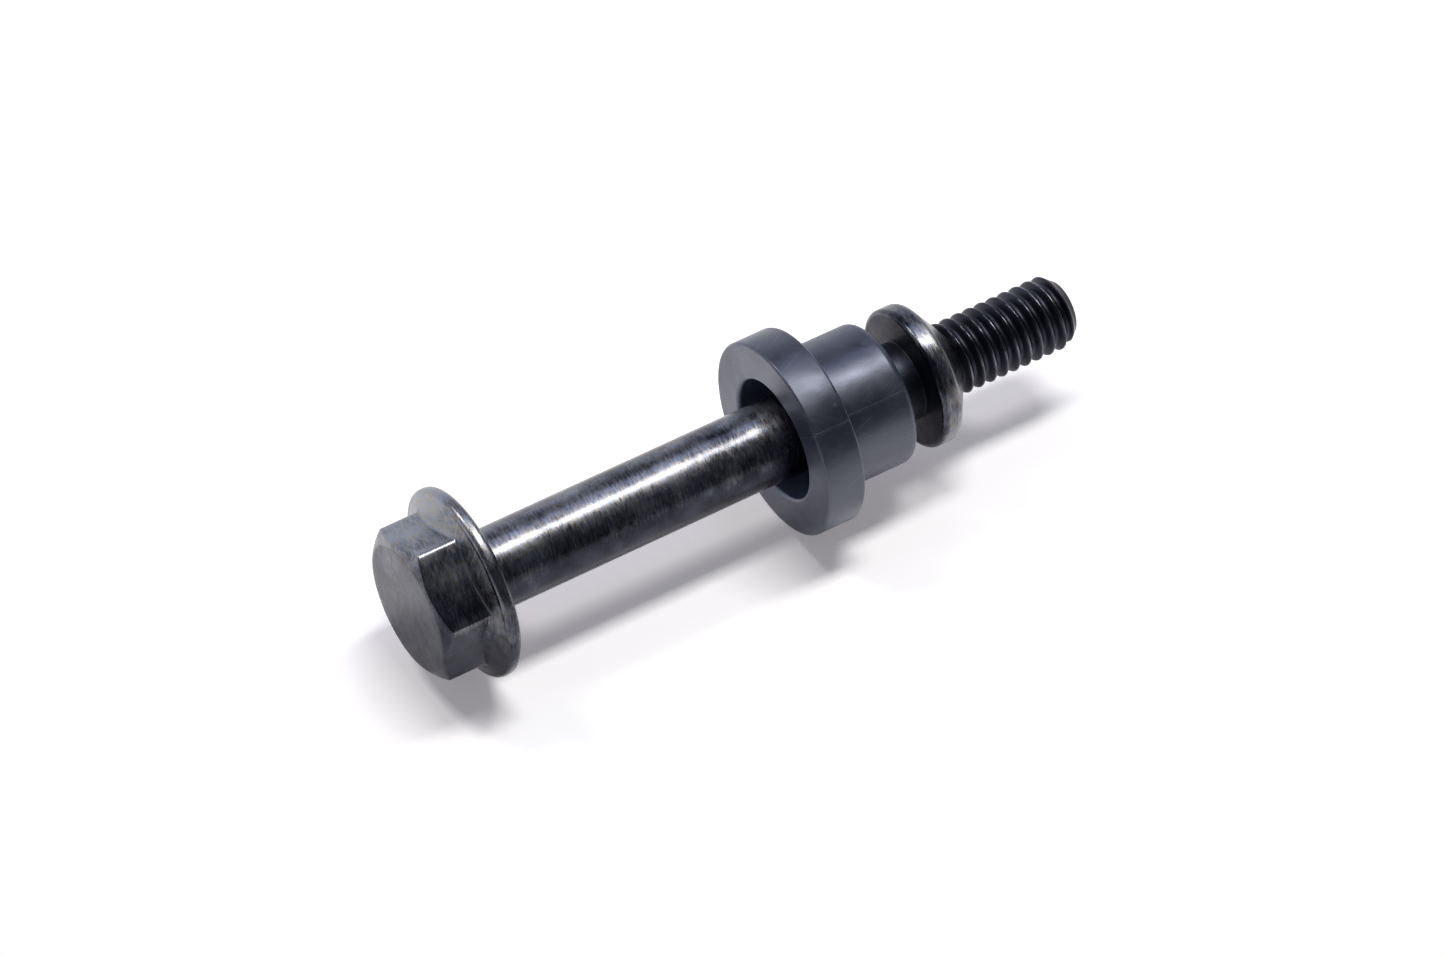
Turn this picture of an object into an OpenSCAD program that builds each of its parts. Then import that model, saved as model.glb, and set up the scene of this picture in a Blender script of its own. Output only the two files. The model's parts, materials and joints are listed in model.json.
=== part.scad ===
// Hex flange shoulder bolt with a captive stepped rubber bush.
// The bolt is one forging: hex head with a flange, long plain shank, collar and
// rolled thread. The bush rides on the shank and can't pass the head or the collar.
// The bolt lies along X, head at the low end. The origin is on its axis where the
// thread meets the collar's cone, and the bush's flange is what reaches lowest.
// All sizes are in millimetres.

/* [Head] */
// width of the hexagon across its flats
hex_af = 14.3; // [10:0.1:18]
// height of the whole head over the bearing face
head_h = 7.2; // [5.5:0.1:14]
// how far inside the flats the chamfer on the hexagon's end begins
chamfer_inset = 0.35; // [0.1:0.05:1]
// angle between the chamfer and the head's end face
chamfer_angle = 30; // [15:1:40]
// turn of the hexagon around the bolt
hex_turn = 8.5; // [0:0.5:60]
// outside diameter of the flange
flange_d = 20.2; // [19:0.1:30]
// thickness of the flange at its rim
rim_t = 1.5; // [1.3:0.1:3]
// slope of the flange's front, from the rim up to the hexagon
flange_slope = 24; // [10:1:32]

/* [Shank] */
// diameter of the plain shank
shank_d = 8.4; // [5:0.1:11]
// length between the head's bearing face and the collar's face
grip_len = 50.8; // [25:0.1:120]

/* [Collar] */
// outside diameter of the collar
collar_d = 15.1; // [13:0.1:20]
// length of the collar's round rim
collar_rim = 2.1; // [0.8:0.1:6]
// angle between the collar's back cone and the bolt's axis
cone_angle = 54.5; // [35:0.5:70]

/* [Thread] */
// outside diameter over the thread's crests
thread_d = 7.85; // [5:0.05:10]
// distance from one crest to the next
thread_pitch = 1.411; // [0.8:0.001:2]
// length of the threaded end past the collar's cone
thread_len = 13.9; // [6:0.1:30]
// diameter of the flat end of the point
point_d = 5.8; // [3:0.1:7]
// angle between the point's chamfer and the bolt's axis
point_angle = 40; // [25:1:60]
// turn of the thread around the bolt
thread_turn = -75; // [-180:5:180]

/* [Bush] */
// outside diameter of the bush's flange
bush_flange_d = 21.0; // [18:0.1:34]
// thickness of the bush's flange
bush_flange_t = 4.3; // [2.5:0.1:8]
// outside diameter of the bush's body
bush_body_d = 15.2; // [14.6:0.1:17.4]
// length of the whole bush
bush_len = 12.6; // [10:0.1:20]
// diameter of the wide mouth in the flange
mouth_d = 13.0; // [12:0.1:13.4]
// depth of the wide mouth
mouth_depth = 7.0; // [2:0.1:8.5]
// radial gap between the bush's inner lip and the shank
lip_clearance = 0.08; // [0.02:0.01:0.1]
// gap left between the resting bush and the collar
collar_gap = 3.0; // [0.3:0.1:11]

/* [Edges] */
// radius on the rim of the head's flange
rim_r = 0.6; // [0.2:0.05:0.62]
// radius in the corner between the shank and the head
neck_r = 0.35; // [0.1:0.05:1]
// radius on the front edge of the collar
collar_r = 0.45; // [0.1:0.05:0.7]
// radius on the edges of the bush's flange
bush_flange_r = 0.3; // [0.1:0.05:1]
// radius on the far edge of the bush's body
bush_body_r = 0.8; // [0.2:0.1:1.2]
// radius on the edge of the wide mouth
mouth_r = 0.4; // [0.1:0.1:0.8]
// chamfer at both ends of the bush's inner lip
lip_chamfer = 0.5; // [0.1:0.1:0.8]

/* [Hidden] */
$fn = 96;

hex_corner_r = hex_af / sqrt(3);
end_face_r = hex_af / 2 - chamfer_inset;
flange_r = flange_d / 2;
shank_r = shank_d / 2;
collar_out_r = collar_d / 2;
crest_r = thread_d / 2;
// an external thread's depth goes with its pitch: five eighths of the sharp triangle
root_r = crest_r - 5 / 8 * thread_pitch * cos(30);
cone_len = (collar_out_r - root_r) / tan(cone_angle);
thread_at = grip_len + collar_rim + cone_len;
point_at = thread_len - (crest_r - point_d / 2) / tan(point_angle);
lip_r = shank_r + lip_clearance;
bush_at = grip_len - collar_gap - bush_len;
// how far the collar's cone and the threaded rod reach into each other
overlap = 0.4;
// facets in one turn of the thread
turn_steps = 36;
// corners of one pitch of the thread: [share of the pitch, 0 at the root to 1 at the crest]
form = [[0, 0], [0.125, 0], [0.4375, 1], [0.5625, 1], [0.875, 0]];

// Lays a shape drawn up the Z axis, bearing face at z = 0, down along X, with the
// start of the thread at the origin.
module lay_down() {
    rotate([0, 90, 0]) translate([0, 0, -thread_at]) children();
}

// Half sections below have the radius along X and the place on the bolt along Y.

// The head's flange: a rounded rim and a cone that runs up into the hexagon.
module flange_section() {
    rim_in = flange_r - rim_r;
    cone_top = rim_t + (rim_in - end_face_r) * tan(flange_slope);
    polygon([[0, 0], [rim_in, 0], [rim_in, -rim_t], [end_face_r, -cone_top], [0, -cone_top]]);
    translate([0, rim_r - rim_t]) square([flange_r, rim_t - 2 * rim_r]);
    for (y = [-rim_r, rim_r - rim_t]) translate([rim_in, y]) circle(rim_r);
}

// The hexagon, with its corners turned off at the end.
module hexagon() {
    turned_r = hex_corner_r + 1;
    chamfer_h = (turned_r - end_face_r) * tan(chamfer_angle);
    intersection() {
        translate([0, 0, -head_h]) rotate([0, 0, hex_turn])
            cylinder(h = head_h - rim_t / 2, r = hex_corner_r, $fn = 6);
        rotate_extrude() polygon([[0, -head_h], [end_face_r, -head_h],
            [turned_r, chamfer_h - head_h], [turned_r, 0], [0, 0]]);
    }
}

// The shank and the collar, whose back cone runs down into the thread's root.
module shank_section() {
    square([shank_r, grip_len + collar_rim / 2]);
    difference() {
        square([shank_r + neck_r, neck_r]);
        translate([shank_r + neck_r, neck_r]) circle(neck_r);
    }
    cone_end = collar_rim + cone_len + overlap / tan(cone_angle);
    translate([0, grip_len]) {
        translate([collar_out_r - collar_r, collar_r]) circle(collar_r);
        polygon([[0, 0], [collar_out_r - collar_r, 0], [collar_out_r - collar_r, collar_r],
                 [collar_out_r, collar_r], [collar_out_r, collar_rim],
                 [root_r - overlap, cone_end], [0, cone_end]]);
    }
}

// Radius of the thread's skin, z from the collar's cone and share from root to crest.
function skin_r(z, share) =
    let (chamfer_r = crest_r - max(0, z - point_at) * tan(point_angle))
    max(0.3, min(root_r + (crest_r - root_r) * share, chamfer_r));

// A right-hand threaded rod, wound as one closed skin. It starts two pitches below
// z = 0 and ends past the point, so both its ends can be cut off square.
module threaded_rod() {
    across = len(form);
    rows = turn_steps * (ceil(thread_len / thread_pitch) + 3);
    skin = [for (k = [0:rows], corner = form)
        let (turn = 360 * k / turn_steps,
             z = thread_pitch * (k / turn_steps + corner[0] - 2),
             r = skin_r(z, corner[1]))
        [r * cos(turn), r * sin(turn), z]];
    low = len(skin);
    high = low + 1;
    ends = [[0, 0, -1.5 * thread_pitch], [0, 0, thread_pitch * (rows / turn_steps - 1.5)]];
    // one pitch on, a row of corners meets the first corner of the next turn
    function at(k, j) = j < across ? k * across + j : (k + turn_steps) * across;
    wound = [for (k = [0:rows - 1], j = [0:across - 1])
        if (j < across - 1 || k + 1 + turn_steps <= rows)
            each [[at(k, j), at(k, j + 1), at(k + 1, j + 1)],
                  [at(k, j), at(k + 1, j + 1), at(k + 1, j)]]];
    low_cap = concat(
        [for (k = [0:turn_steps - 1]) [low, at(k, 0), at(k + 1, 0)]],
        [for (j = [0:across - 1]) [low, at(0, j + 1), at(0, j)]]);
    high_cap = concat(
        [for (j = [0:across - 2]) [high, at(rows, j), at(rows, j + 1)]],
        [for (k = [rows - turn_steps:rows - 1])
            [high, at(k + 1, across - 1), at(k, across - 1)]],
        [[high, at(rows - turn_steps, across - 1), at(rows, 0)]]);
    polyhedron(points = concat(skin, ends), faces = concat(wound, low_cap, high_cap));
}

// The threaded end: the rod from inside the collar's cone to the flat of the point.
module threaded_end() {
    // deep enough for the crests to start under the cone
    sunk = (crest_r - root_r + overlap) / tan(cone_angle);
    translate([0, 0, thread_at]) intersection() {
        rotate([0, 0, thread_turn]) threaded_rod();
        translate([0, 0, -sunk]) cylinder(h = thread_len + sunk, r = crest_r + 1);
    }
}

module bolt() {
    color([0.09, 0.09, 0.10]) lay_down() {
        rotate_extrude() flange_section();
        hexagon();
        rotate_extrude() shank_section();
        threaded_end();
    }
}

// The bush, its flange's face at y = 0: a wide mouth, then the lip round the shank.
module bush_section() {
    flange_out = bush_flange_d / 2;
    body_out = bush_body_d / 2;
    mouth = mouth_d / 2;
    flared = lip_r + lip_chamfer;
    difference() {
        union() {
            square([flange_out - bush_flange_r, bush_flange_t]);
            translate([0, bush_flange_r]) square([flange_out, bush_flange_t - 2 * bush_flange_r]);
            for (y = [bush_flange_r, bush_flange_t - bush_flange_r])
                translate([flange_out - bush_flange_r, y]) circle(bush_flange_r);
            square([body_out, bush_len - bush_body_r]);
            square([body_out - bush_body_r, bush_len]);
            translate([body_out - bush_body_r, bush_len - bush_body_r]) circle(bush_body_r);
        }
        polygon([[-1, -1], [mouth, -1], [mouth, mouth_depth], [flared, mouth_depth],
                 [lip_r, mouth_depth + lip_chamfer], [lip_r, bush_len - lip_chamfer],
                 [flared, bush_len], [flared, bush_len + 1], [-1, bush_len + 1]]);
        difference() {
            translate([mouth - 1, -1]) square([1 + mouth_r, 1 + mouth_r]);
            translate([mouth + mouth_r, mouth_r]) circle(mouth_r);
        }
    }
}

module bush() {
    color([0.22, 0.24, 0.27]) lay_down()
        translate([0, 0, bush_at]) rotate_extrude() bush_section();
}

bolt();
bush();
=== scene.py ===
"""Looks of the hex flange shoulder bolt and its rubber bush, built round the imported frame.

Blender works in metres. Sizes here are in millimetres and times MM when they go to Blender.
The bolt's axis runs along X at the height AXIS_Z, with the head at the low end.
"""
import json
import math

import bmesh
import bpy
import numpy as np
from mathutils import Matrix, Vector


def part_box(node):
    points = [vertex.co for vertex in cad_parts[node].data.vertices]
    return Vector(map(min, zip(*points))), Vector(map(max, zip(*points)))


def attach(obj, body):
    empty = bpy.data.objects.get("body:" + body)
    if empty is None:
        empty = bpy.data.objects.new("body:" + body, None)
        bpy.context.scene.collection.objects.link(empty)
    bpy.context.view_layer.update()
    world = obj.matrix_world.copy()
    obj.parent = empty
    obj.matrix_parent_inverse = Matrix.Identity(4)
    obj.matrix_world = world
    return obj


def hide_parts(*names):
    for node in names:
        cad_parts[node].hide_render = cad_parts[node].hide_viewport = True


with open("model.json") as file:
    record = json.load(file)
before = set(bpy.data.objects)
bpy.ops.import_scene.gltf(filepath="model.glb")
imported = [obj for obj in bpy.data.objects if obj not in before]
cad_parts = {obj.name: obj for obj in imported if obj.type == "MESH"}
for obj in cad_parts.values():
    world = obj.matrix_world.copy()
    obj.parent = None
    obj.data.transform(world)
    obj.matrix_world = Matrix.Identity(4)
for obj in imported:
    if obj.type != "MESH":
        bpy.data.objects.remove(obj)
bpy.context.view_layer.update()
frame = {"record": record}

MM = 0.001

# ---------------------------------------------------------------- sizes, in millimetres
mounts = {m["name"]: m for m in frame["record"]["mounts"]}
bolt_low, bolt_high = (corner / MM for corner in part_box("bolt"))
bush_low, bush_high = (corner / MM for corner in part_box("bush"))


def mount_x(name):
    """The mount's place along the bolt."""
    return mounts[name]["pos_m"][0] / MM


AXIS_Z = (bush_low.z + bush_high.z) / 2
FLOOR_Z = min(bolt_low.z, bush_low.z)

HEAD_END = bolt_low.x
SEAT = mount_x("head_seat")
RIDGE = mount_x("collar_seat")
COLLAR_RIM = 2.1
COLLAR_FACE = RIDGE - COLLAR_RIM
THREAD_START = mount_x("thread")
TIP = bolt_high.x

# what the frame's boxes and mounts don't say is repeated here and below from the part's source
HEX_FLATS = 14.3
HEX_TURN = 8.5
CHAMFER_INSET = 0.35
CHAMFER_SLOPE = 30
FLANGE_R = (bolt_high.y - bolt_low.y) / 2
FLANGE_RIM = 1.5
FLANGE_RIM_R = 0.6
FLANGE_SLOPE = 24
SHANK_R = 8.4 / 2
NECK_R = 0.35
COLLAR_R = 15.1 / 2
COLLAR_EDGE_R = 0.45
CREST_R = 7.85 / 2
PITCH = 1.411
ROOT_R = CREST_R - 5 / 8 * PITCH * math.cos(math.radians(30))
POINT_R = 5.8 / 2
POINT_SLOPE = 40
THREAD_TURN = -75

BUSH_FLANGE_R = (bush_high.y - bush_low.y) / 2
BUSH_SEAT = mount_x("bush_flange_seat")
BUSH_BODY_R = mounts["bush_body"]["dims"]["r_mm"]
MOUTH_R = 13.0 / 2
MOUTH_DEPTH = 7.0
LIP_CLEARANCE = 0.08
LIP_R = SHANK_R + LIP_CLEARANCE
LIP_CHAMFER = 0.5
BUSH_EDGE_R = 0.3
BUSH_FAR_R = 0.8
MOUTH_EDGE_R = 0.4

# ---------------------------------------------------------------- camera
FOCAL = 4.84429  # focal length in widths of the frame
SENSOR = 36
SIGHT_TURN = math.radians(-32.2)
SIGHT_FALL = math.radians(47.03)
SIGHT_LENGTH = 700
# a point of the bolt's axis, and how far it lies to the right of the view's middle and below it
SIGHT_ALONG = 35.1
SIGHT_POINT = Vector((SEAT + SIGHT_ALONG, 0, AXIS_Z))
SIGHT_RIGHT, SIGHT_DOWN = 4.95, -3.81

right = Vector((math.cos(SIGHT_TURN), math.sin(SIGHT_TURN), 0))
level = Vector((-right.y, right.x, 0))
sight = level * math.cos(SIGHT_FALL) - Vector((0, 0, 1)) * math.sin(SIGHT_FALL)
down = -level * math.sin(SIGHT_FALL) - Vector((0, 0, 1)) * math.cos(SIGHT_FALL)
# how far the skin that faces this view leans from straight up
FACING = math.atan2(sight.y, -sight.z)

camera = bpy.data.objects.new("camera", bpy.data.cameras.new("camera"))
bpy.context.scene.collection.objects.link(camera)
camera.data.sensor_width = SENSOR
camera.data.lens = SENSOR * FOCAL
camera.data.clip_start, camera.data.clip_end = 0.05, 20
camera.location = (SIGHT_POINT - SIGHT_RIGHT * right - SIGHT_DOWN * down - SIGHT_LENGTH * sight) * MM
camera.rotation_euler = sight.to_track_quat("-Z", "Y").to_euler()
bpy.context.scene.camera = camera
bpy.context.scene.view_settings.view_transform = "Standard"


# ---------------------------------------------------------------- helpers
def add(tree, kind, inputs=None, **settings):
    """Adds one node, sets it, and gives each named or numbered input a value or a link."""
    made = tree.nodes.new(kind)
    for name, value in settings.items():
        setattr(made, name, value)
    for name, value in (inputs or {}).items():
        if isinstance(value, bpy.types.NodeSocket):
            tree.links.new(value, made.inputs[name])
        else:
            made.inputs[name].default_value = value
    return made


def around_axis(x, r, turn):
    """A point in metres, r from the bolt's axis, its turn counted from straight up towards +Y."""
    return x * MM, r * math.sin(turn) * MM, (AXIS_Z + r * math.cos(turn)) * MM


def linear(colour):
    """An sRGB hex colour as linear RGBA."""
    parts = [int(colour[i:i + 2], 16) / 255 for i in (1, 3, 5)]
    return [c / 12.92 if c <= 0.04045 else ((c + 0.055) / 1.055) ** 2.4 for c in parts] + [1]


# ---------------------------------------------------------------- light
LAMP_HEIGHT = 0.55  # in metres, as are the lamps' sides
ROOM_LEVEL = 0.13
BACKDROP_LEVEL = 1.0
centre = Vector(((bolt_low.x + bolt_high.x) / 2, 0, AXIS_Z)) * MM


def softbox(name, aside, behind, size, watts, colour):
    """A lamp over the part, leaning by degrees towards +X and +Y, its sides along X and Y."""
    place = Vector((math.tan(math.radians(aside)), math.tan(math.radians(behind)), 1)) * LAMP_HEIGHT
    lamp = bpy.data.lights.new(name, "AREA")
    lamp.shape = "RECTANGLE"
    lamp.size, lamp.size_y = size
    lamp.energy = watts
    lamp.color = linear(colour)[:3]
    box = bpy.data.objects.new(name, lamp)
    bpy.context.scene.collection.objects.link(box)
    back = place.normalized()
    side = (Vector((1, 0, 0)) - back * back.x).normalized()
    box.rotation_euler = Matrix((side, back.cross(side), back)).transposed().to_euler()
    box.location = centre + place


softbox("key_strip", 12, 1, (0.34, 0.10), 2.2, "#fffdfb")
softbox("back_softbox", -21, 31, (0.16, 0.14), 1.4, "#fffaf8")
softbox("side_panel", 21, 26, (0.15, 0.18), 0.22, "#c9d8ff")

world = bpy.data.worlds.new("studio")
bpy.context.scene.world = world
world.use_nodes = True
tree = world.node_tree
tree.nodes.clear()
# a dim room with a white backdrop low behind the part, towards +Y
heading = add(tree, "ShaderNodeTexCoord").outputs["Generated"]
heading = add(tree, "ShaderNodeSeparateXYZ", {0: heading}).outputs
low = add(tree, "ShaderNodeMapRange", {"Value": heading["Z"], "From Min": 0.72, "From Max": 0.20},
          interpolation_type="SMOOTHSTEP")
rear = add(tree, "ShaderNodeMapRange", {"Value": heading["Y"], "From Min": 0.0, "From Max": 0.4},
           interpolation_type="SMOOTHSTEP")
backdrop = add(tree, "ShaderNodeMath", {0: low.outputs[0], 1: rear.outputs[0]}, operation="MULTIPLY")
strength = add(tree, "ShaderNodeMapRange",
               {"Value": backdrop.outputs[0], "To Min": ROOM_LEVEL, "To Max": BACKDROP_LEVEL})
room = add(tree, "ShaderNodeBackground", {"Color": linear("#e4eaff"), "Strength": strength.outputs[0]})
add(tree, "ShaderNodeOutputWorld", {0: room.outputs[0]})


# ---------------------------------------------------------------- materials
# a pattern with n features in a millimetre has the scale n / MM
def material(name):
    """An empty node material and its tree."""
    made = bpy.data.materials.new(name)
    made.use_nodes = True
    made.node_tree.nodes.clear()
    return made, made.node_tree


def scratches(tree, place, turn, length, width):
    """Straight scratches of about this length and width, as 0 to 1.

    On the skin that faces the main view they are turned by so many degrees from the bolt's axis.
    """
    turned = add(tree, "ShaderNodeVectorRotate",
                 {"Vector": place, "Rotation": (-FACING, 0, math.radians(turn))},
                 rotation_type="EULER_XYZ")
    fineness = (1 / (length * MM), 1 / (width * MM), 1 / (length * MM))
    drawn = add(tree, "ShaderNodeVectorMath", {0: turned.outputs[0], 1: fineness}, operation="MULTIPLY")
    noise = add(tree, "ShaderNodeTexNoise", {"Vector": drawn.outputs[0], "Scale": 1.0, "Detail": 1.0})
    # only the peaks of the drawn-out noise show, as separate lines
    lines = add(tree, "ShaderNodeMapRange", {"Value": noise.outputs[0], "From Min": 0.60, "From Max": 0.72})
    return lines.outputs[0]


# a matt white painted board; away from the part it is plain white to the eye and in reflections
PLAIN_FROM, PLAIN_BEYOND = 44, 62  # distance from the part's middle
FLOOR_LIFT = 0.21  # light that the room adds to the board, also in the shadows

white_floor, tree = material("painted_board")
rays = add(tree, "ShaderNodeLightPath").outputs
place = add(tree, "ShaderNodeTexCoord").outputs["Object"]
away = add(tree, "ShaderNodeVectorMath", {0: place}, operation="LENGTH").outputs["Value"]
far_off = add(tree, "ShaderNodeMapRange",
              {"Value": away, "From Min": PLAIN_FROM * MM, "From Max": PLAIN_BEYOND * MM})
seen = add(tree, "ShaderNodeMath", {0: rays["Is Camera Ray"], 1: rays["Is Glossy Ray"]},
           operation="MAXIMUM")
seen = add(tree, "ShaderNodeMath", {0: seen.outputs[0], 1: rays["Is Transmission Ray"]},
           operation="MAXIMUM")
plain = add(tree, "ShaderNodeMath", {0: seen.outputs[0], 1: far_off.outputs[0]}, operation="MULTIPLY")
lift = add(tree, "ShaderNodeMath", {0: seen.outputs[0], 1: FLOOR_LIFT}, operation="MULTIPLY")
board = add(tree, "ShaderNodeBsdfDiffuse", {"Color": linear("#ffffff")})
glow = add(tree, "ShaderNodeEmission", {"Color": linear("#fff8f8"), "Strength": lift.outputs[0]})
near = add(tree, "ShaderNodeAddShader", {0: board.outputs[0], 1: glow.outputs[0]})
white = add(tree, "ShaderNodeEmission", {"Color": linear("#ffffff"), "Strength": 1.0})
surface = add(tree, "ShaderNodeMixShader", {0: plain.outputs[0], 1: near.outputs[0], 2: white.outputs[0]})
add(tree, "ShaderNodeOutputMaterial", {"Surface": surface.outputs[0]})

# black oxide on rolled and turned steel: dark, satin, worn through to bright steel on the edges
MARK_SLANT = 7  # the marks run round the bolt, slanted by this many degrees
MARK_FINENESS = (5.6 / MM, 0.86 / MM, 0.86 / MM)

black_steel, tree = material("black_oxide_steel")
place = add(tree, "ShaderNodeTexCoord").outputs["Object"]
slanted = add(tree, "ShaderNodeVectorRotate",
              {"Vector": place, "Rotation": (0, 0, math.radians(MARK_SLANT))},
              rotation_type="EULER_XYZ")
around = add(tree, "ShaderNodeVectorMath", {0: slanted.outputs[0], 1: MARK_FINENESS}, operation="MULTIPLY")
marks = add(tree, "ShaderNodeTexNoise",
            {"Vector": around.outputs[0], "Scale": 1.0, "Detail": 4.0, "Roughness": 0.65})
blotch = add(tree, "ShaderNodeTexNoise",
             {"Vector": place, "Scale": 0.42 / MM, "Detail": 6.0, "Roughness": 0.62})
speck = add(tree, "ShaderNodeTexNoise", {"Vector": place, "Scale": 2.6 / MM, "Detail": 3.0})
wear = add(tree, "ShaderNodeAttribute", attribute_name="wear").outputs["Fac"]
rubbed = add(tree, "ShaderNodeMath", {0: blotch.outputs[0], 1: marks.outputs[0]}, operation="ADD")
rubbed = add(tree, "ShaderNodeMath", {0: rubbed.outputs[0], 1: 0.42, 2: wear}, operation="MULTIPLY_ADD")
# broad patches rubbed more and less, and crossing scratches where the part is handled
patch = add(tree, "ShaderNodeTexNoise", {"Vector": place, "Scale": 0.17 / MM, "Detail": 2.0})
patch = add(tree, "ShaderNodeMapRange", {"Value": patch.outputs[0], "To Min": -0.22, "To Max": 0.22})
rubbed = add(tree, "ShaderNodeMath", {0: rubbed.outputs[0], 1: patch.outputs[0]}, operation="ADD")
crossing = add(tree, "ShaderNodeMath",
               {0: scratches(tree, place, 66, 2.6, 0.11), 1: scratches(tree, place, -62, 2.2, 0.12)},
               operation="MAXIMUM")
handled = add(tree, "ShaderNodeMapRange", {"Value": wear, "From Min": 0.66, "From Max": 0.73, "To Max": 0.3})
rubbed = add(tree, "ShaderNodeMath",
             {0: crossing.outputs[0], 1: handled.outputs[0], 2: rubbed.outputs[0]},
             operation="MULTIPLY_ADD")
bare = add(tree, "ShaderNodeMapRange",
           {"Value": rubbed.outputs[0], "From Min": 0.87, "From Max": 1.42, "To Max": 0.8},
           interpolation_type="SMOOTHSTEP")
oxide = add(tree, "ShaderNodeMapRange", {"Value": blotch.outputs[0], "From Min": 0.35, "From Max": 0.65})
oxide = add(tree, "ShaderNodeMix", {0: oxide.outputs[0], 6: linear("#292a31"), 7: linear("#3b3d47")},
            data_type="RGBA")
# a thin film left on the bare steel shows cream in one fleck and blue in the next
fleck = add(tree, "ShaderNodeMapRange", {"Value": speck.outputs[0], "From Min": 0.42, "From Max": 0.58})
steel = add(tree, "ShaderNodeMix", {0: fleck.outputs[0], 6: linear("#b2aca3"), 7: linear("#a2a9b7")},
            data_type="RGBA")
metal = add(tree, "ShaderNodeMix", {0: bare.outputs[0], 6: oxide.outputs[2], 7: steel.outputs[2]},
            data_type="RGBA")
rough = add(tree, "ShaderNodeMapRange",
            {"Value": marks.outputs[0], "From Min": 0.3, "From Max": 0.7, "To Min": 0.20, "To Max": 0.30})
# untouched oxide is duller, and where it is rubbed off fine scratches scatter the light
dull = add(tree, "ShaderNodeMapRange",
           {"Value": wear, "From Min": 0.24, "From Max": 0.38, "To Min": 0.18, "To Max": 0.0})
rough = add(tree, "ShaderNodeMath", {0: rough.outputs[0], 1: dull.outputs[0]}, operation="ADD")
rough = add(tree, "ShaderNodeMix", {0: bare.outputs[0], 2: rough.outputs[0], 3: 0.42}, data_type="FLOAT")
bump = add(tree, "ShaderNodeMath", {0: marks.outputs[0], 1: speck.outputs[0]}, operation="ADD")
bump = add(tree, "ShaderNodeBump", {"Height": bump.outputs[0], "Strength": 0.35, "Distance": 0.02 * MM})
metal = add(tree, "ShaderNodeBsdfPrincipled",
            {"Base Color": metal.outputs[2], "Metallic": 1.0,
             "Roughness": rough.outputs[0], "Normal": bump.outputs[0]})
add(tree, "ShaderNodeOutputMaterial", {"Surface": metal.outputs[0]})

# moulded rubber: satin dark slate with a bluish wax bloom, painted lighter in the mouth as light in its
# hollow, nicked and scratched
NICKS = ((2.5, -23, 0.28), (3.4, -35, 0.22))  # place from the flange's face, turn round the axis, size
MOULD_TURN = -46  # turn of the parting line round the axis
MOUTH_LIGHT_EDGE = 0.05, 0.3  # the mouth's painted light fades out this far outside the mouth

rubber, tree = material("moulded_rubber")
place = add(tree, "ShaderNodeTexCoord").outputs["Object"]
blotch = add(tree, "ShaderNodeTexNoise",
             {"Vector": place, "Scale": 0.21 / MM, "Detail": 5.0, "Roughness": 0.58})
# the mould's spark-eroded grain is finer than this and is drawn as coarse as it needs to show
grain = add(tree, "ShaderNodeTexNoise", {"Vector": place, "Scale": 5.2 / MM, "Detail": 2.0})
scratch = add(tree, "ShaderNodeMath",
              {0: scratches(tree, place, 35, 4.0, 0.15), 1: scratches(tree, place, -20, 6.0, 0.18)},
              operation="MAXIMUM")
scratch = add(tree, "ShaderNodeMath", {0: scratch.outputs[0], 1: blotch.outputs[0]}, operation="MULTIPLY")
scratch = add(tree, "ShaderNodeMath", {0: scratch.outputs[0], 1: 3.0}, operation="MULTIPLY")
bloom = add(tree, "ShaderNodeMapRange",
            {"Value": blotch.outputs[0], "From Min": 0.30, "From Max": 0.70, "To Min": 0.15, "To Max": 0.85})
# painted light in the mouth: the rubber is lighter inside its radius, measured from the bolt's axis
across = add(tree, "ShaderNodeVectorMath", {0: place, 1: (0, 0, AXIS_Z * MM)}, operation="SUBTRACT")
across = add(tree, "ShaderNodeVectorMath", {0: across.outputs[0], 1: (0, 1, 1)}, operation="MULTIPLY")
radius = add(tree, "ShaderNodeVectorMath", {0: across.outputs[0]}, operation="LENGTH").outputs["Value"]
painted_mouth_light = add(tree, "ShaderNodeMapRange",
            {"Value": radius, "From Min": (MOUTH_R + MOUTH_LIGHT_EDGE[1]) * MM,
             "From Max": (MOUTH_R + MOUTH_LIGHT_EDGE[0]) * MM, "To Max": 6.0})
bloom_marks_and_mouth_light = add(tree, "ShaderNodeMath", {0: bloom.outputs[0], 1: scratch.outputs[0]}, operation="MAXIMUM")
# the mouth's painted light joins the bloom and the marks in one lightening share
bloom_marks_and_mouth_light = add(tree, "ShaderNodeMath", {0: bloom_marks_and_mouth_light.outputs[0], 1: painted_mouth_light.outputs[0]}, operation="MAXIMUM")
for along, turn, size in NICKS:
    spot = around_axis(bush_low.x + along, BUSH_FLANGE_R, math.radians(turn))
    gap = add(tree, "ShaderNodeVectorMath", {0: place, 1: spot}, operation="DISTANCE").outputs["Value"]
    nick = add(tree, "ShaderNodeMapRange",
               {"Value": gap, "From Min": size * 1.5 * MM, "From Max": size * 0.7 * MM, "To Max": 1.8})
    bloom_marks_and_mouth_light = add(tree, "ShaderNodeMath", {0: bloom_marks_and_mouth_light.outputs[0], 1: nick.outputs[0]}, operation="MAXIMUM")
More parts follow.
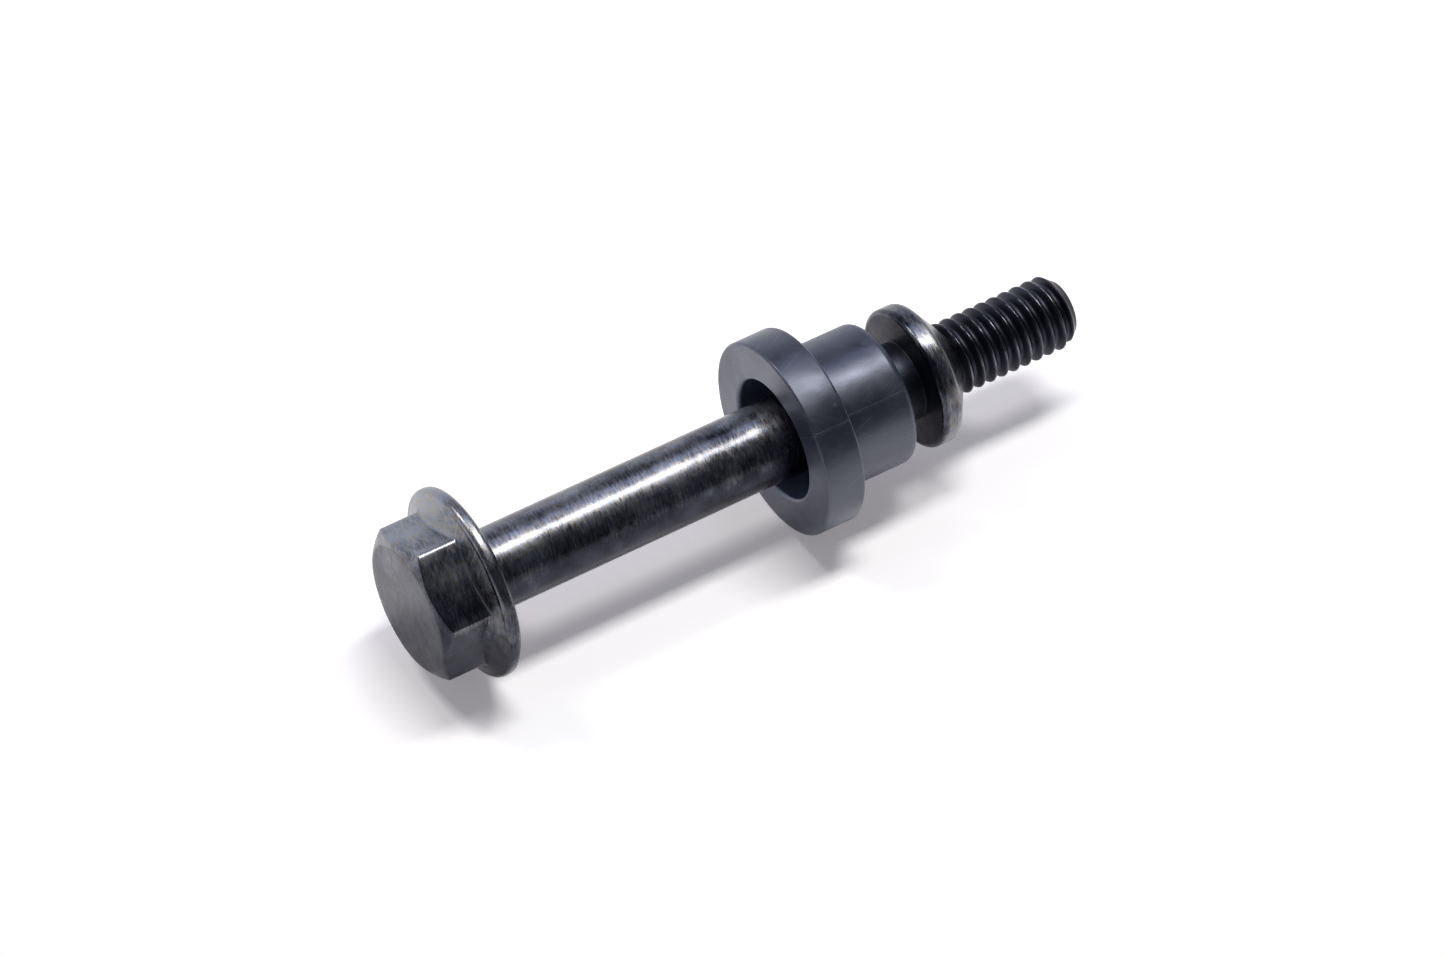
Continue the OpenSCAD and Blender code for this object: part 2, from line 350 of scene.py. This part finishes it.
# the mould's parting line, a plane through the axis
parting = (0, math.cos(math.radians(MOULD_TURN)), -math.sin(math.radians(MOULD_TURN)))
offset = add(tree, "ShaderNodeVectorMath", {0: across.outputs[0], 1: parting}, operation="DOT_PRODUCT")
offset = add(tree, "ShaderNodeMath", {0: offset.outputs["Value"]}, operation="ABSOLUTE")
seam = add(tree, "ShaderNodeMapRange",
           {"Value": offset.outputs[0], "From Min": 0.12 * MM, "From Max": 0.04 * MM})
slate = add(tree, "ShaderNodeMix", {0: bloom_marks_and_mouth_light.outputs[0], 6: linear("#08090c"), 7: linear("#262932")},
            data_type="RGBA", clamp_factor=False)
rough = add(tree, "ShaderNodeMapRange",
            {"Value": blotch.outputs[0], "From Min": 0.35, "From Max": 0.65, "To Min": 0.30, "To Max": 0.44})
relief = add(tree, "ShaderNodeMath", {0: seam.outputs[0], 1: 3.0, 2: grain.outputs[0]},
             operation="MULTIPLY_ADD")
bump = add(tree, "ShaderNodeBump", {"Height": relief.outputs[0], "Strength": 0.35, "Distance": 0.02 * MM})
# the moulding isn't quite even
wavy = add(tree, "ShaderNodeTexNoise",
           {"Vector": place, "Scale": 0.26 / MM, "Detail": 2.0, "Roughness": 0.4})
bump = add(tree, "ShaderNodeBump",
           {"Height": wavy.outputs[0], "Strength": 0.5, "Distance": 0.2 * MM, "Normal": bump.outputs[0]})
# the skin is glossier than plain rubber: the IOR stands above rubber's own, and a faint sheen is the bloom
waxy = add(tree, "ShaderNodeBsdfPrincipled",
           {"Base Color": slate.outputs[2], "Roughness": rough.outputs[0], "Normal": bump.outputs[0],
            "IOR": 1.95, "Specular Tint": linear("#e2e8ff"),
            "Sheen Weight": 0.15, "Sheen Roughness": 0.35, "Sheen Tint": linear("#a9bfff")})
add(tree, "ShaderNodeOutputMaterial", {"Surface": waxy.outputs[0]})


# ---------------------------------------------------------------- turned shapes
def arc(centre, radius, start, end, steps=6):
    """Points along a circle in a half section; angles in degrees, 0 along X and 90 outwards."""
    turns = [math.radians(start + (end - start) * k / steps) for k in range(steps + 1)]
    return [(centre[0] + radius * math.cos(a), centre[1] + radius * math.sin(a)) for a in turns]


def skin(name, rings, finish):
    """A closed skin round the bolt's axis from rings of (x, radii, worn shares), one for every angle."""
    around = len(rings[0][1])
    turns = np.arange(around) * 2 * math.pi / around
    points, faces, worn = [], [], []
    for x, radius, wear in rings:
        points += [around_axis(x, r, turn) for turn, r in zip(turns, radius)]
        worn.extend(wear)
    for k in range(len(rings) - 1):
        for j in range(around):
            a, b = k * around + j, k * around + (j + 1) % around
            faces.append((a, a + around, b + around, b))
    points += [around_axis(rings[0][0], 0, 0), around_axis(rings[-1][0], 0, 0)]
    worn += [rings[0][2][0], rings[-1][2][0]]
    first, last = len(points) - 2, len(points) - 1
    top = (len(rings) - 1) * around
    for j in range(around):
        faces.append((first, j, (j + 1) % around))
        faces.append((last, top + (j + 1) % around, top + j))
    mesh = bpy.data.meshes.new(name)
    mesh.from_pydata(points, [], faces)
    layer = mesh.attributes.new("wear", "FLOAT", "POINT")
    layer.data.foreach_set("value", np.array(worn, np.float32))
    return finished(name, mesh, finish)


def finished(name, mesh, finish):
    """An object of the mesh, smooth, with its normals outwards."""
    shell = bmesh.new()
    shell.from_mesh(mesh)
    bmesh.ops.recalc_face_normals(shell, faces=shell.faces)
    shell.to_mesh(mesh)
    shell.free()
    mesh.polygons.foreach_set("use_smooth", [True] * len(mesh.polygons))
    if finish:
        mesh.materials.append(finish)
    made = bpy.data.objects.new(name, mesh)
    bpy.context.scene.collection.objects.link(made)
    return made


def smooth_least(a, b, soft):
    """The smaller of two lengths, with the corner between them rounded over the length soft."""
    blend = np.clip(0.5 + 0.5 * (b - a) / soft, 0, 1)
    return b + (a - b) * blend - soft * blend * (1 - blend)


def smooth_most(a, b, soft):
    """The larger of two lengths, rounded in the same way."""
    return -smooth_least(-a, -b, soft)


# ---------------------------------------------------------------- the bolt's forging
AROUND = 288
EDGE_STEP = 0.1  # a ring this near an edge keeps the smooth shading on its own side of it
# how far the oxide is rubbed off: 0 is untouched and 1 is bare steel
END_WEAR, HEAD_WEAR, CORNER_WEAR, FLANGE_WEAR, RIM_WEAR = 0.31, 0.55, 0.70, 0.67, 0.66
SHANK_WEAR, COLLAR_WEAR, RIDGE_WEAR, CONE_WEAR = 0.68, 0.68, 0.76, 0.69
SHADED_UNDERSIDE_SHARE = 0.56  # of the shank's wear, on its lower side, which paints that side darker as shade
ring_turns = np.arange(AROUND) * 2 * math.pi / AROUND


def round_ring(x, r, wear=0.0):
    """A round ring of the skin, with one worn share or one for every angle."""
    return x, np.full(AROUND, r), np.full(AROUND, wear)


# a hexagon with softened corners: the higher the power, the sharper they are
HEX_POWER = 70
hex_turns = [math.radians(180 - HEX_TURN - 30 - 60 * k) for k in range(6)]
beside = np.array([np.maximum(np.cos(ring_turns - turn), 0) for turn in hex_turns])
hexagon = HEX_FLATS / 2 / (beside ** HEX_POWER).sum(0) ** (1 / HEX_POWER)
end_face_r = HEX_FLATS / 2 - CHAMFER_INSET
rim_in = FLANGE_R - FLANGE_RIM_R
neck_out = SHANK_R + NECK_R

# painted top light: the head is rubbed to brighter steel on its upper side and less below, so its top reads
# lit and its underside shaded; how much, and where the lit side is
TOP_LIGHT_SWING, TOP_LIGHT_TURN = 0.27, 45
painted_top_light = TOP_LIGHT_SWING * np.cos(ring_turns - math.radians(TOP_LIGHT_TURN))

# the end face, then the hexagon down to the flange's rim
HEAD_STEPS = 96
END_ROUND = 0.02  # the end face's edge is broken by this much
CORNER_SOFT, FOOT_SOFT = 0.25, 0.5  # lengths over which the chamfer and the hexagon's foot are rounded
CORNER_FROM, CORNER_FADE = 0.55, 0.4  # how far past the flats the corners' wear starts and grows
rings = []
# the end face carries the painted top light, lighter towards its upper side
for r in np.linspace(0.4, end_face_r - 0.25, 8):
    rings.append(round_ring(HEAD_END, r, END_WEAR + painted_top_light * r / end_face_r))
for k in range(HEAD_STEPS):
    x = HEAD_END + END_ROUND + (SEAT - FLANGE_RIM - END_ROUND - HEAD_END) * k / HEAD_STEPS
    turned = end_face_r + (x - HEAD_END) / math.tan(math.radians(CHAMFER_SLOPE))
    cone = rim_in - (SEAT - FLANGE_RIM - x) / math.tan(math.radians(FLANGE_SLOPE))
    radius = smooth_most(smooth_least(hexagon, turned, CORNER_SOFT), np.full(AROUND, cone), FOOT_SOFT)
    # the hexagon's corners stand out past its flats and wear first
    corner = np.clip((radius - HEX_FLATS / 2 - CORNER_FROM) / CORNER_FADE, 0, 1) * (radius > cone + 0.2)
    on_cone = np.clip((cone - radius) / 0.6 + 1, 0, 1)
    worn = HEAD_WEAR + corner * (CORNER_WEAR - HEAD_WEAR)
    # the hexagon and the flange's cone carry the painted top light, lighter above and darker below
    rings.append((x, radius, worn + on_cone * (FLANGE_WEAR - worn) + painted_top_light))

# the flange's rim, its flat underside and the neck
rim = arc((SEAT - FLANGE_RIM + FLANGE_RIM_R, rim_in), FLANGE_RIM_R, 180, 90, 8)
rim += arc((SEAT - FLANGE_RIM_R, rim_in), FLANGE_RIM_R, 90, 0, 8)
# the rim carries the painted top light too, a painted highlight along its upper side
rings += [round_ring(x, r, RIM_WEAR + painted_top_light) for x, r in rim]
underside = (rim_in - EDGE_STEP, rim_in - 1.5, neck_out + 1.5, neck_out + EDGE_STEP)
rings += [round_ring(SEAT, r) for r in underside]
rings += [round_ring(x, r) for x, r in arc((SEAT + NECK_R, neck_out), NECK_R, 180, 270, 6)]

# the shank is rubbed most along its upper side, which also paints its lit top lighter and its underside
# darker as shade; inside the bush the wear fades out towards the collar, which paints the gap beside the
# collar darker as shade
LIT_TOP_TURN = -8  # where the middle of the upper side lies, the side that is rubbed most and painted lit
lit_top_share = np.clip(1.6 * np.cos(ring_turns - math.radians(LIT_TOP_TURN)) - 0.4, 0, 1)
shank_wear_and_painted_light = SHANK_WEAR * (SHADED_UNDERSIDE_SHARE + (1 - SHADED_UNDERSIDE_SHARE) * lit_top_share)
GAP_SHADE_START, GAP_SHADE_FADE = 1, 2  # the wear ends this far inside the bush, and fades over this length; past it the shank is unrubbed and darker, painted shade in the gap beside the collar
for x in np.linspace(SEAT + NECK_R + EDGE_STEP, COLLAR_FACE - EDGE_STEP, 80):
    # painted shade: no wear, so darker oxide, between the bush's end and the collar
    left = np.clip((bush_high.x - GAP_SHADE_START - x) / GAP_SHADE_FADE, 0, 1)
    rings.append(round_ring(x, SHANK_R, shank_wear_and_painted_light * left))

# the collar's face, its rounded edge and its rim
rings.append(round_ring(COLLAR_FACE, SHANK_R))
for r in (SHANK_R + EDGE_STEP, SHANK_R + 1.2, COLLAR_R - COLLAR_EDGE_R - EDGE_STEP):
    rings.append(round_ring(COLLAR_FACE, r))
for x, r in arc((COLLAR_FACE + COLLAR_EDGE_R, COLLAR_R - COLLAR_EDGE_R), COLLAR_EDGE_R, 180, 90, 6):
    rings.append(round_ring(x, r, COLLAR_WEAR * 0.8))
for x in np.linspace(COLLAR_FACE + 0.8, RIDGE - 0.5, 4):
    rings.append(round_ring(x, COLLAR_R, COLLAR_WEAR))

# the ridge is worn round: places along it, and how far the radius has dropped there; then the cone
ROUNDED = ((-0.32, 0.0), (-0.18, 0.02), (-0.06, 0.06), (0.06, 0.13), (0.18, 0.27))
for x, drop in ROUNDED:
    rings.append(round_ring(RIDGE + x, COLLAR_R - drop, RIDGE_WEAR))
cone_rise = (COLLAR_R - ROOT_R) / (THREAD_START - RIDGE)
for x in np.linspace(RIDGE + 0.3, THREAD_START + 0.25, 14):
    rings.append(round_ring(x, COLLAR_R - (x - RIDGE) * cone_rise, CONE_WEAR))

forging = skin("bolt_forging", rings, black_steel)
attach(forging, "bolt")
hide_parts("bolt")


# ---------------------------------------------------------------- the thread, by Geometry Nodes
THREAD_AROUND = 96
FORM_STEPS = 16  # up one pitch of the thread's form
# the form in shares of a pitch from the crest's middle: where the flank ends, and how long it is
FLANK_END, FLANK = 0.375, 0.3125
# how far the crest, the root and the point's edge are rounded
CREST_SOFT, ROOT_SOFT, POINT_SOFT = 0.18, 0.25, 0.08
THREAD_WEAR, WEAR_POWER = 0.62, 6.0  # only the crests are rubbed
OFF_EDGE = 0.0001  # keeps the grid's rows off the place where the fraction of a pitch jumps
WELD = 2e-6  # points nearer than this are joined, in metres


def thread_tree():
    """A grid wound round the axis: one side follows the helix, the other runs up the thread's form."""
    tree = bpy.data.node_groups.new("rolled_thread", "GeometryNodeTree")
    tree.interface.new_socket("Geometry", in_out="OUTPUT", socket_type="NodeSocketGeometry")
    sizes = {}
    for name, value in (("Pitch", PITCH), ("Crest radius", CREST_R), ("Root radius", ROOT_R),
                        ("Start", THREAD_START - PITCH), ("End", TIP), ("Point radius", POINT_R),
                        ("Point slope", math.tan(math.radians(POINT_SLOPE))),
                        ("Turn", math.radians(THREAD_TURN)), ("Axis height", AXIS_Z)):
        socket = tree.interface.new_socket(name, in_out="INPUT", socket_type="NodeSocketFloat")
        socket.default_value = value
        sizes[name] = socket.identifier
    steps = tree.interface.new_socket("Steps in a turn", in_out="INPUT", socket_type="NodeSocketInt")
    steps.default_value = THREAD_AROUND
    finish = tree.interface.new_socket("Finish", in_out="INPUT", socket_type="NodeSocketMaterial")
    finish.default_value = black_steel
    inputs = add(tree, "NodeGroupInput").outputs

    def maths(operation, *values):
        return add(tree, "ShaderNodeMath", dict(enumerate(values)), operation=operation).outputs[0]

    length = maths("SUBTRACT", inputs["End"], inputs["Start"])
    pitches = maths("ADD", maths("CEIL", maths("DIVIDE", length, inputs["Pitch"])), 2.0)
    rows = maths("ADD", maths("MULTIPLY", pitches, float(FORM_STEPS)), 1.0)
    columns = maths("ADD", inputs["Steps in a turn"], 1.0)
    sheet = add(tree, "GeometryNodeMeshGrid",
                {"Size X": 1.0, "Size Y": 1.0, "Vertices X": columns, "Vertices Y": rows})
    place = add(tree, "ShaderNodeSeparateXYZ", {0: add(tree, "GeometryNodeInputPosition").outputs[0]})
    turn = maths("ADD", place.outputs["X"], 0.5)
    along = maths("MULTIPLY", maths("ADD", place.outputs["Y"], 0.5), pitches)
    # how far past the start a point lies before the ends are cut; the grid begins one pitch short of it
    lifted = maths("MULTIPLY", maths("SUBTRACT", maths("ADD", along, turn), 1.0), inputs["Pitch"])
    x = maths("MAXIMUM", maths("ADD", inputs["Start"], lifted), inputs["Start"])
    x = maths("MINIMUM", x, inputs["End"])
    # the form: flanks of 60 degrees between a narrow rounded crest and a wider rounded root
    phase = maths("ABSOLUTE", maths("SUBTRACT", maths("FRACT", maths("ADD", along, OFF_EDGE)), 0.5))
    slope = maths("DIVIDE", maths("SUBTRACT", FLANK_END, phase), FLANK)
    share = maths("SMOOTH_MAX", maths("SMOOTH_MIN", slope, 1.0, CREST_SOFT), 0.0, ROOT_SOFT)
    depth = maths("SUBTRACT", inputs["Crest radius"], inputs["Root radius"])
    formed = maths("ADD", inputs["Root radius"], maths("MULTIPLY", depth, share))
    chamfer = maths("ADD", inputs["Point radius"],
                    maths("MULTIPLY", maths("SUBTRACT", inputs["End"], x), inputs["Point slope"]))
    radius = maths("SMOOTH_MIN", formed, chamfer, POINT_SOFT)
    # the angle is counted from straight down towards +Y, so the thread is right-handed
    angle = maths("ADD", maths("MULTIPLY", turn, 2 * math.pi), inputs["Turn"])
    wound = add(tree, "ShaderNodeCombineXYZ", {
        0: x, 1: maths("MULTIPLY", radius, maths("SINE", angle)),
        2: maths("SUBTRACT", inputs["Axis height"], maths("MULTIPLY", radius, maths("COSINE", angle)))})
    metres = add(tree, "ShaderNodeVectorMath", {0: wound.outputs[0], "Scale": MM}, operation="SCALE")
    worn = add(tree, "GeometryNodeStoreNamedAttribute",
               {"Geometry": sheet.outputs["Mesh"], "Name": "wear",
                "Value": maths("MULTIPLY", maths("POWER", share, WEAR_POWER), THREAD_WEAR)},
               data_type="FLOAT", domain="POINT")
    rolled = add(tree, "GeometryNodeSetPosition",
                 {"Geometry": worn.outputs[0], "Position": metres.outputs[0]})
    joined = add(tree, "GeometryNodeMergeByDistance", {"Geometry": rolled.outputs[0], "Distance": WELD})
    real = add(tree, "GeometryNodeRealizeInstances", {0: joined.outputs[0]})
    done = add(tree, "GeometryNodeSetMaterial", {"Geometry": real.outputs[0], "Material": inputs["Finish"]})
    add(tree, "NodeGroupOutput", {0: done.outputs[0]})
    return tree, sizes


def grown(name, tree, values):
    """The plain mesh that a Geometry Nodes tree makes, as a new object with closed ends.

    The tree sets the material itself. The values go to its inputs by their identifiers.
    """
    seed = bpy.data.objects.new(name + "_seed", bpy.data.meshes.new(name + "_seed"))
    bpy.context.scene.collection.objects.link(seed)
    maker = seed.modifiers.new("maker", "NODES")
    maker.node_group = tree
    for identifier, value in values.items():
        maker[identifier] = value
    seen = seed.evaluated_get(bpy.context.evaluated_depsgraph_get())
    mesh = bpy.data.meshes.new_from_object(seen)
    mesh.name = name
    bpy.data.objects.remove(seed)
    shell = bmesh.new()
    shell.from_mesh(mesh)
    bmesh.ops.dissolve_degenerate(shell, dist=1e-7, edges=shell.edges)
    bmesh.ops.holes_fill(shell, edges=[e for e in shell.edges if e.is_boundary], sides=0)
    shell.to_mesh(mesh)
    shell.free()
    return finished(name, mesh, None)


rolled_thread, thread_inputs = thread_tree()
thread = grown("bolt_thread", rolled_thread, {thread_inputs["Turn"]: math.radians(THREAD_TURN)})
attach(thread, "bolt")
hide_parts("bolt")

# ---------------------------------------------------------------- the bush
BUSH_AROUND = 192
face = bush_low.x
far = bush_high.x
mouth_floor = face + MOUTH_DEPTH

# the flange: its face, its two rounded edges and its seat
section = [(face, r) for r in (MOUTH_R + MOUTH_EDGE_R + EDGE_STEP, MOUTH_R + 2,
                               BUSH_FLANGE_R - BUSH_EDGE_R - EDGE_STEP)]
section += arc((face + BUSH_EDGE_R, BUSH_FLANGE_R - BUSH_EDGE_R), BUSH_EDGE_R, 180, 90)
section += arc((BUSH_SEAT - BUSH_EDGE_R, BUSH_FLANGE_R - BUSH_EDGE_R), BUSH_EDGE_R, 90, 0)
section += [(BUSH_SEAT, r) for r in (BUSH_FLANGE_R - BUSH_EDGE_R - EDGE_STEP, BUSH_BODY_R + 1,
                                     BUSH_BODY_R + EDGE_STEP, BUSH_BODY_R)]
# the body and its far end
for x in np.linspace(BUSH_SEAT + EDGE_STEP, far - BUSH_FAR_R - EDGE_STEP, 6):
    section.append((x, BUSH_BODY_R))
section += arc((far - BUSH_FAR_R, BUSH_BODY_R - BUSH_FAR_R), BUSH_FAR_R, 90, 0, 10)
section += [(far, r) for r in (BUSH_BODY_R - BUSH_FAR_R - EDGE_STEP, LIP_R + LIP_CHAMFER + EDGE_STEP,
                               LIP_R + LIP_CHAMFER)]
# the lip round the shank, chamfered at both ends
lip_far, lip_near = far - LIP_CHAMFER, mouth_floor + LIP_CHAMFER
section += [(x, LIP_R) for x in (lip_far, lip_far - EDGE_STEP, lip_near + EDGE_STEP, lip_near)]
# the mouth: its floor, its wall and its rounded edge
section += [(mouth_floor, r) for r in (LIP_R + LIP_CHAMFER, LIP_R + LIP_CHAMFER + EDGE_STEP,
                                       MOUTH_R - EDGE_STEP, MOUTH_R)]
section += [(x, MOUTH_R) for x in (mouth_floor - EDGE_STEP, face + 3, face + MOUTH_EDGE_R + EDGE_STEP)]
section += arc((face + MOUTH_EDGE_R, MOUTH_R + MOUTH_EDGE_R), MOUTH_EDGE_R, 270, 180)


def ring_skin(name, section, around, finish):
    """A closed ring round the bolt's axis: the section's last point joins its first."""
    points, faces = [], []
    count = len(section)
    for x, r in section:
        points += [around_axis(x, r, 2 * math.pi * j / around) for j in range(around)]
    for k in range(count):
        for j in range(around):
            a, b = k * around + j, k * around + (j + 1) % around
            c, d = (k + 1) % count * around + (j + 1) % around, (k + 1) % count * around + j
            faces.append((a, d, c, b))
    mesh = bpy.data.meshes.new(name)
    mesh.from_pydata(points, [], faces)
    return finished(name, mesh, finish)


bush = ring_skin("rubber_bush", section, BUSH_AROUND, rubber)
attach(bush, "bush")
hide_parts("bush")

# ---------------------------------------------------------------- floor
FLOOR_HALF = 3  # in metres
corners = [(x * FLOOR_HALF, y * FLOOR_HALF, 0) for x, y in ((-1, -1), (1, -1), (1, 1), (-1, 1))]
floor_mesh = bpy.data.meshes.new("floor")
floor_mesh.from_pydata(corners, [], [(0, 1, 2, 3)])
floor_mesh.materials.append(white_floor)
floor = bpy.data.objects.new("floor", floor_mesh)
floor.location = (centre.x, 0, FLOOR_Z * MM)
bpy.context.scene.collection.objects.link(floor)
